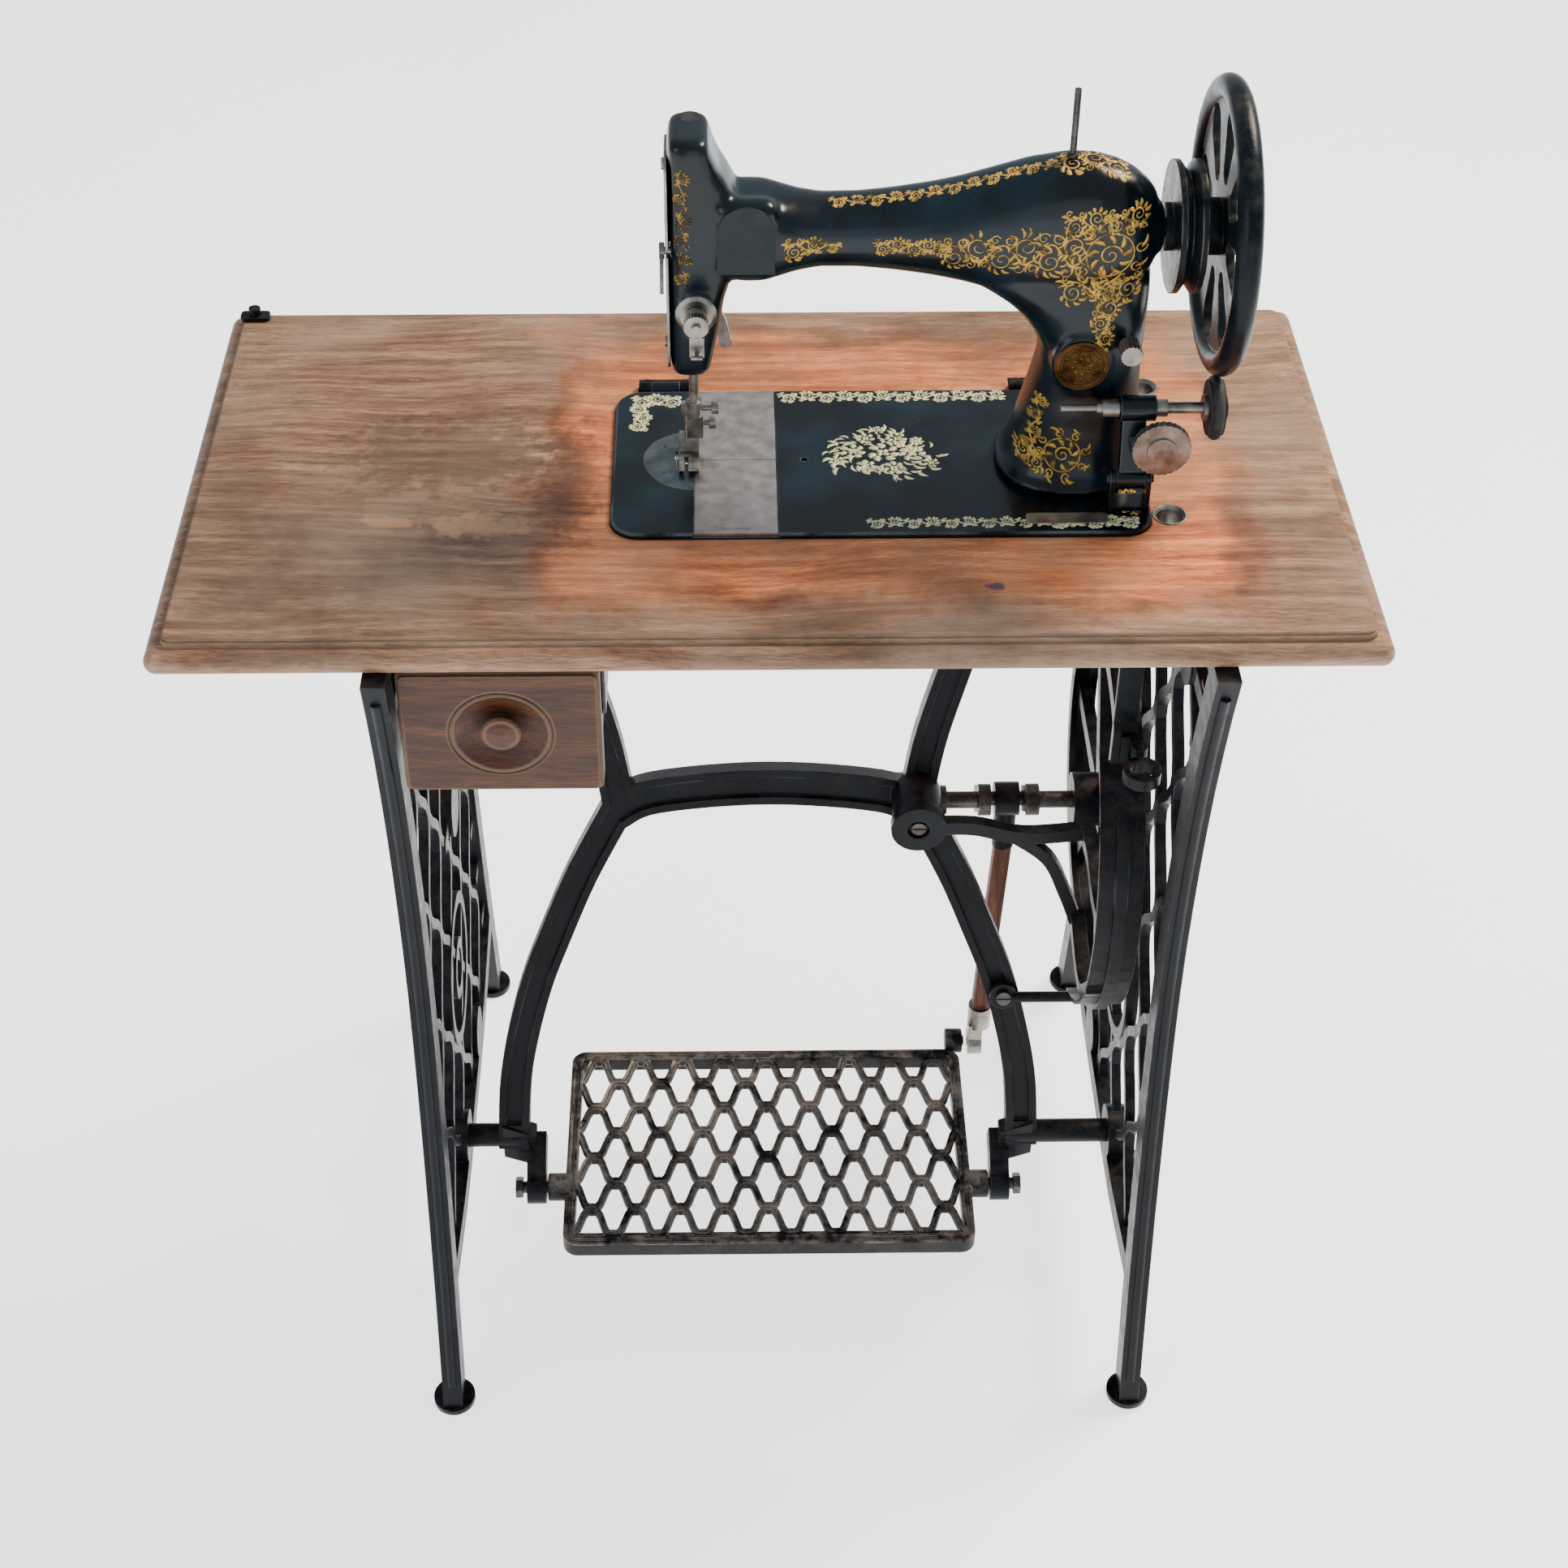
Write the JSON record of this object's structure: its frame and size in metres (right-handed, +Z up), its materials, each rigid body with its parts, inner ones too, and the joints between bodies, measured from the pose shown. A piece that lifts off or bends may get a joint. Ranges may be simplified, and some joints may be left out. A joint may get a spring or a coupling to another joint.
{
  "type": "treadle sewing table",
  "caption": "Cast iron treadle stand with a wooden top, a side drawer, a rocking treadle and band wheel, and a tilting sewing head with handwheel and bobbin winder.",
  "frame": {"origin": "centre of the footprint on the floor, under the middle of the table top", "axes": "+X to the right seen from the treadle side, +Y to the back, +Z up"},
  "size_m": [0.815, 0.5062, 1.062],
  "materials": {
    "cast_iron": "worn black japan paint on cast iron",
    "black_enamel": "gloss black enamel with worn gilt ornament",
    "steel": "worn nickel-plated steel",
    "oak_top": "worn, sun-bleached varnish",
    "drawer_wood": "worn varnish",
    "ash_rod": "dry, unvarnished",
    "brass": "tarnished",
    "rubber": "aged"
  },
  "bodies": {
    "stand": {"side_frame_left": "cast_iron", "side_frame_right": "cast_iron", "foot_pads": "cast_iron", "rear_brace": "cast_iron", "brace_bolts": "cast_iron", "dress_guard": "cast_iron", "small_screws": "steel", "treadle_pivot_screws": "steel", "table_screws": "cast_iron", "table_top": "oak_top", "belt_hole_bushes": "steel", "hinge_leaves": "cast_iron", "corner_catch": "cast_iron", "drawer_runners": "steel", "shifter_bracket": "cast_iron"},
    "drawer": {"drawer_front": "drawer_wood", "drawer_sides": "drawer_wood", "drawer_back": "drawer_wood", "drawer_bottom": "drawer_wood", "drawer_knob": "drawer_wood"},
    "treadle": {"treadle_plate": "cast_iron"},
    "wheel": {"band_wheel": "cast_iron", "crankshaft": "steel"},
    "pitman": {"pitman_rod": "ash_rod", "pitman_bearing": "cast_iron", "pitman_socket": "steel"},
    "shifter": {"belt_shifter": "cast_iron"},
    "head": {"bed": "black_enamel", "arm": "black_enamel", "face_plate": "steel", "arm_cover_plate": "steel", "needle_plate": "steel", "rear_slide_plate": "steel", "feed_dog": "steel", "badge": "brass", "tag_plate": "brass", "spool_pin": "steel", "thread_guides": "steel", "tension_discs": "steel", "tension_spring": "steel", "pressure_screw": "steel", "winder_bracket": "black_enamel", "under_shaft": "steel"},
    "slide_front": {"front_slide_plate": "steel"},
    "tension_dial": {"tension_nut": "steel"},
    "needle_rod": {"needle_bar": "steel", "needle": "steel"},
    "presser": {"presser_bar": "steel", "presser_foot": "steel"},
    "lifter": {"presser_lifter": "steel"},
    "take_up": {"take_up_lever": "steel"},
    "top_wheel": {"main_shaft": "steel", "handwheel": "black_enamel", "belt_pulley": "black_enamel"},
    "clutch": {"clutch_nut": "steel"},
    "stitch": {"stitch_knob": "steel"},
    "winder": {"winder_frame": "black_enamel"},
    "winder_spin": {"winder_spindle": "steel", "winder_tyre": "rubber"},
    "winder_cam": {"winder_disc": "steel"}
  },
  "joints": [
    {"name": "drawer_slide", "type": "slide", "parent": "stand", "child": "drawer", "axis": [0, -1, 0], "range_m": [0, 0.24]},
    {"name": "treadle_rock", "type": "hinge", "parent": "stand", "child": "treadle", "pos_m": [0.003, -0.088, 0.092], "axis": [1, 0, 0], "range_deg": [-11, 11]},
    {"name": "band_wheel_spin", "type": "hinge", "parent": "stand", "child": "wheel", "pos_m": [0.276, 0.046, 0.41], "axis": [1, 0, 0], "continuous": true},
    {"name": "pitman_turn", "type": "hinge", "parent": "wheel", "child": "pitman", "pos_m": [0.198, 0.06745, 0.392], "axis": [1, 0, 0], "continuous": true},
    {"name": "belt_shift", "type": "hinge", "parent": "stand", "child": "shifter", "pos_m": [0.276, -0.072, 0.557], "axis": [0, 0, 1], "range_deg": [-25, 8]},
    {"name": "head_tilt", "type": "hinge", "parent": "stand", "child": "head", "pos_m": [0.078, 0.091, 0.777], "axis": [-1, 0, 0], "range_deg": [0, 80]},
    {"name": "slide_plate_front", "type": "slide", "parent": "head", "child": "slide_front", "axis": [0, -1, 0], "range_m": [0, 0.06]},
    {"name": "tension_turn", "type": "hinge", "parent": "head", "child": "tension_dial", "pos_m": [-0.047, -0.05, 0.919], "axis": [0, 1, 0], "range_deg": [-180, 180]},
    {"name": "needle_bar_stroke", "type": "slide", "parent": "head", "child": "needle_rod", "axis": [0, 0, -1], "range_m": [0, 0.028]},
    {"name": "presser_lift", "type": "slide", "parent": "head", "child": "presser", "axis": [0, 0, 1], "range_m": [0, 0.006], "stiffness_N_per_m": 600, "springref_m": -0.008},
    {"name": "lifter_turn", "type": "hinge", "parent": "head", "child": "lifter", "pos_m": [-0.04, 0.024, 0.891], "axis": [0, 1, 0], "range_deg": [0, 60]},
    {"name": "take_up_swing", "type": "hinge", "parent": "head", "child": "take_up", "pos_m": [-0.069, -0.022, 0.957], "axis": [1, 0, 0], "range_deg": [-18, 18]},
    {"name": "handwheel_spin", "type": "hinge", "parent": "head", "child": "top_wheel", "pos_m": [0.302, -0.0045, 0.963], "axis": [1, 0, 0], "continuous": true},
    {"name": "clutch_turn", "type": "hinge", "parent": "top_wheel", "child": "clutch", "pos_m": [0.316, -0.0045, 0.963], "axis": [1, 0, 0], "range_deg": [-120, 120]},
    {"name": "stitch_turn", "type": "hinge", "parent": "head", "child": "stitch", "pos_m": [0.242, -0.046, 0.893], "axis": [0, 1, 0], "range_deg": [-180, 180]},
    {"name": "winder_swing", "type": "hinge", "parent": "head", "child": "winder", "pos_m": [0.248, -0.062, 0.801], "axis": [1, 0, 0], "range_deg": [0, 12]},
    {"name": "winder_spindle_spin", "type": "hinge", "parent": "winder", "child": "winder_spin", "pos_m": [0.302, -0.05, 0.85034], "axis": [1, 0, 0], "continuous": true},
    {"name": "winder_disc_spin", "type": "hinge", "parent": "winder", "child": "winder_cam", "pos_m": [0.266, -0.067, 0.829], "axis": [0, 1, 0], "continuous": true}
  ],
  "couplings": [
    {"joint": "pitman_turn", "follows": "band_wheel_spin", "ratio": -1},
    {"joint": "winder_disc_spin", "follows": "winder_spindle_spin", "ratio": 0.03333}
  ]
}
